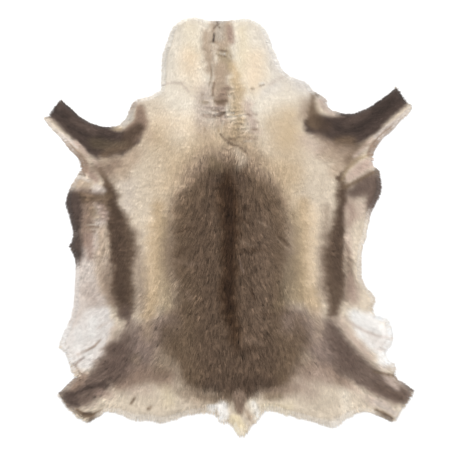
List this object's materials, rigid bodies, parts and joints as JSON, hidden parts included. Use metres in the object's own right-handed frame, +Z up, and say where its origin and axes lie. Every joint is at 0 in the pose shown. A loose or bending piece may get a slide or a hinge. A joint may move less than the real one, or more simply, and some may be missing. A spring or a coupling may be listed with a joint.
{
  "type": "reindeer hide",
  "caption": "Whole tanned reindeer hide laid flat, hair side up, with its neck, legs and tail.",
  "frame": {"origin": "on the surface that the hide lies on, under the middle of its length and width", "axes": "+Y towards the neck, +X towards the right side of the animal, as seen from above, +Z up out of the hair"},
  "size_m": [1.0894, 1.2466, 0.0427],
  "materials": {
    "coat": "dense soft hair, brown on the back, cream on the neck and sides",
    "skin": "pale suede of the tanned flesh side"
  },
  "bodies": {
    "root": {"reindeer_hide": "coat"}
  },
  "joints": []
}
